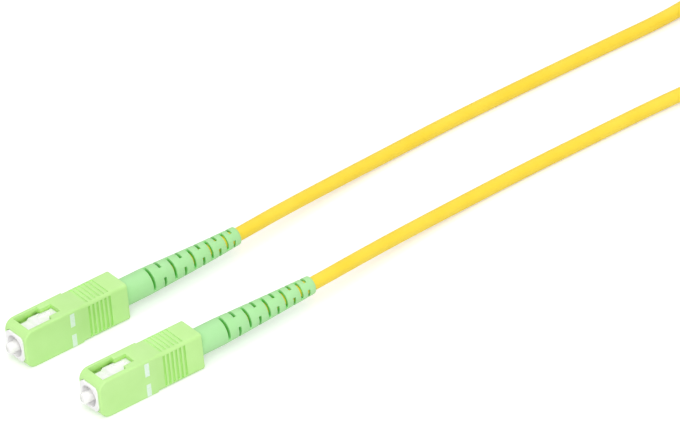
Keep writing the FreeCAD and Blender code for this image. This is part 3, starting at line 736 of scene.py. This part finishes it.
def makeStrap():
    low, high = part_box("coil_tie")
    section = strapSection((high.y - low.y) / 2)
    path = [Vector((x, 0, z)) for x, z in strapPath(low, high)]
    middleY = (low.y + high.y) / 2
    rows = len(section)
    vertices, faces = [], []
    for number, place in enumerate(path):
        before, after = path[max(number - 1, 0)], path[min(number + 1, len(path) - 1)]
        along = (after - before).normalized()
        outwards = Vector((along.z, 0, -along.x))
        vertices += [place + outwards * rise + Vector((0, middleY + across, 0)) for across, rise in section]
    for number in range(len(path) - 1):
        here, there = number * rows, (number + 1) * rows
        faces += [(here + row, here + (row + 1) % rows, there + (row + 1) % rows, there + row)
                  for row in range(rows)]
    faces.append(tuple(range(rows)))
    faces.append(tuple(range(len(vertices) - rows, len(vertices))))
    piece = shellObject("coilStrap", vertices, faces)
    recalcNormals(piece.data)
    piece.data.materials.append(finishes["tie_fabric"])
    smoothShading(piece.data, coilStrap["creaseFrom"])
    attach(piece, "cable")
    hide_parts("coil_tie")
    print("strap has", len(piece.data.polygons), "faces")
    return piece


tiedStrap = makeStrap()


# grips, frames and ferrules: the solids with their edges rounded

mouldedEdges = {
    "grip_housing_": {"name": "grip_", "body": "grip_", "slot": "grip_plastic", "width": 0.00009},
    "plug_frame_": {"name": "frame_", "body": None, "slot": "frame_plastic", "width": 0.0001},
    "ferrule_": {"name": "ferruleRod_", "body": "ferrule_unit_", "slot": "ferrule_ceramic",
                 "width": 0.00003},
}
gripForm = {
    "halfWidth": 0.0037,
    "halfHeight": 0.0045,
    "noseRadius": 0.0023,
    "edgeRadius": 0.0008,
    "grooves": (0.0145, 0.0225),  # stretch of the grip that has the finger grooves
    "crownReach": 0.0031,  # the top and bottom ones end within this distance of the middle
    "crownFloor": (0.0003, 0.0008),  # how far below the outer form their floors lie
    "crownEase": 0.00015,  # in the photograph they are shallower than the side ones
    "fullShadeAt": 0.0012,  # depth in a window or a groove at which the painted shade on the plastic is full
}


def gripDepth(place):
    # depth under the grip's outer form, a block with round edges and a round nose, which sets the painted
    # shade
    form = gripForm
    noseDrop = 0
    if place.x < form["noseRadius"]:
        noseDrop = form["noseRadius"] - math.sqrt(max(0, 2 * form["noseRadius"] * place.x - place.x ** 2))
    across = abs(place.y) - form["halfWidth"] + form["edgeRadius"]
    up = abs(place.z) - form["halfHeight"] + noseDrop + form["edgeRadius"]
    outside = math.hypot(max(across, 0), max(up, 0)) + min(max(across, up), 0) - form["edgeRadius"]
    depth = min(-outside, place.x)
    inCrownGroove = up > across and place.x > form["grooves"][0]  # the grooves on the top and bottom get no painted shade
    return 0 if inCrownGroove else depth


def easeCrownGrooves(mesh, origin):
    # raise the floors of the grooves on the top and the bottom
    form = gripForm
    first, last = form["grooves"]
    shallow, deep = form["crownFloor"]
    for vertex in mesh.vertices:
        place = vertex.co - origin
        sunk = form["halfHeight"] - abs(place.z)
        if first < place.x < last and shallow < sunk < deep and abs(place.y) < form["crownReach"]:
            vertex.co.z += math.copysign(form["crownEase"], place.z)


def makeMoulded(node, end):
    edge = mouldedEdges[node]
    isGrip = node == "grip_housing_"
    origin = plugOrigin(end)
    piece = mergedCopy(node + end, edge["name"] + end)
    if isGrip:
        easeCrownGrooves(piece.data, origin)
    softenEdges(piece, edge["width"])
    smoothShading(piece.data)
    if isGrip:
        # painted shade in the windows and side grooves, stronger with depth
        markPaintedShade(piece.data, lambda place: gripDepth(place - origin), gripForm["fullShadeAt"])
    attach(piece, edge["body"] + end if edge["body"] else "cable")
    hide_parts(node + end)
    print(piece.name, "has", len(piece.data.polygons), "faces")


for end in plugEnds:
    for node in mouldedEdges:
        makeMoulded(node, end)


# springs: the wire in each plug, its loose triangles joined


def makeSpring(end):
    node = "ferrule_spring_" + end
    piece = mergedCopy(node, "wireSpring_" + end)
    smoothShading(piece.data)
    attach(piece, "cable")
    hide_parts(node)
    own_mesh(piece)
    print(piece.name, "has", len(piece.data.polygons), "faces")


for end in plugEnds:
    makeSpring(end)


# white seating marks printed on the side of each grip

seatMark = {
    "place": 0.0121,  # from the grip's front
    "width": 0.00112,
    "spans": [(-0.0042, -0.00122), (0.00073, 0.00392)],  # heights about the plug's axis
    "proud": 0.00002,
    "sunk": 0.00003,
}


def makeMarks(end):
    mark = seatMark
    origin = plugOrigin(end)
    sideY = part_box("grip_housing_" + end)[0].y
    work = bmesh.new()
    for low, high in mark["spans"]:
        size = Vector((mark["width"], mark["proud"] + mark["sunk"], high - low))
        middle = Vector((origin.x + mark["place"], sideY + (mark["sunk"] - mark["proud"]) / 2,
                         origin.z + (low + high) / 2))
        bmesh.ops.create_cube(work, size=1, matrix=Matrix.Translation(middle) @ Matrix.Diagonal((*size, 1)))
    mesh = bpy.data.meshes.new("seatMarks_" + end)
    work.to_mesh(mesh)
    work.free()
    mesh.materials.append(markFinish)
    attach(addObject("seatMarks_" + end, mesh), "grip_" + end)


for end in plugEnds:
    makeMarks(end)
print("marks printed")


# studio

studio = {
    "floorSize": 6.0,
    "floorLevel": 0.0,
    "floorShade": (0.82, 0.82, 0.82, 1),
    "floorRoughness": 0.9,
    "floorGlow": 0.35,  # seen by the camera and in reflections, and lights nothing
    "ambient": 0.59,  # what the surroundings light the object with
    "backdrop": 1.0,  # what the camera and reflections see of them
    "lamps": [
        {"name": "keyLamp", "place": (-0.42, -0.65, 0.75), "size": 0.9, "power": 5.4},
        {"name": "topLamp", "place": (0.25, 0.1, 1.2), "size": 0.9, "power": 2.8},
        {"name": "frontLamp", "place": (-1.2, -0.12, 0.15), "size": 0.6, "power": 0.9},
    ],
    "aim": (0.05, 0.0, 0.0),
}
pureWhite = (1, 1, 1, 1)


def seeingRays(tree):
    # 1 for rays that show a surface: the camera's, reflected ones and those that pass through
    rays = tree.nodes.new("ShaderNodeLightPath").outputs
    seeing = rays["Is Camera Ray"]
    for kind in ("Is Glossy Ray", "Is Transmission Ray"):
        either = tree.nodes.new("ShaderNodeMath")
        either.operation = "MAXIMUM"
        tree.links.new(seeing, either.inputs[0])
        tree.links.new(rays[kind], either.inputs[1])
        seeing = either.outputs[0]
    return seeing


def makeFloor():
    half = studio["floorSize"] / 2
    level = studio["floorLevel"]
    corners = [(-half, -half, level), (half, -half, level), (half, half, level), (-half, half, level)]
    floor = shellObject("floor", corners, [(0, 1, 2, 3)])
    finish, tree, shader = newFinish("paleFloor")[:3]
    shader.inputs["Base Color"].default_value = studio["floorShade"]
    shader.inputs["Roughness"].default_value = studio["floorRoughness"]
    shader.inputs["Specular IOR Level"].default_value = 0.0
    glow = tree.nodes.new("ShaderNodeMath")
    glow.operation = "MULTIPLY"
    glow.inputs[1].default_value = studio["floorGlow"]
    tree.links.new(seeingRays(tree), glow.inputs[0])
    shader.inputs["Emission Color"].default_value = pureWhite
    tree.links.new(glow.outputs[0], shader.inputs["Emission Strength"])
    floor.data.materials.append(finish)


def makeSurroundings():
    world = bpy.data.worlds.new("studio")
    scene.world = world
    world.use_nodes = True
    tree = world.node_tree
    backdrop = tree.nodes["Background"]
    backdrop.inputs["Color"].default_value = pureWhite
    strength = tree.nodes.new("ShaderNodeMapRange")
    strength.inputs["To Min"].default_value = studio["ambient"]
    strength.inputs["To Max"].default_value = studio["backdrop"]
    tree.links.new(seeingRays(tree), strength.inputs["Value"])
    tree.links.new(strength.outputs["Result"], backdrop.inputs["Strength"])


def makeLamp(lamp):
    light = bpy.data.lights.new(lamp["name"], "AREA")
    light.shape = "DISK"
    light.size = lamp["size"]
    light.energy = lamp["power"]
    holder = addObject(lamp["name"], light)
    holder.location = lamp["place"]
    facing = Vector(studio["aim"]) - holder.location
    holder.rotation_euler = facing.to_track_quat("-Z", "Y").to_euler()
    holder.visible_camera = False


makeFloor()
makeSurroundings()
for lamp in studio["lamps"]:
    makeLamp(lamp)
scene.view_settings.view_transform = "Standard"
print("studio lit")
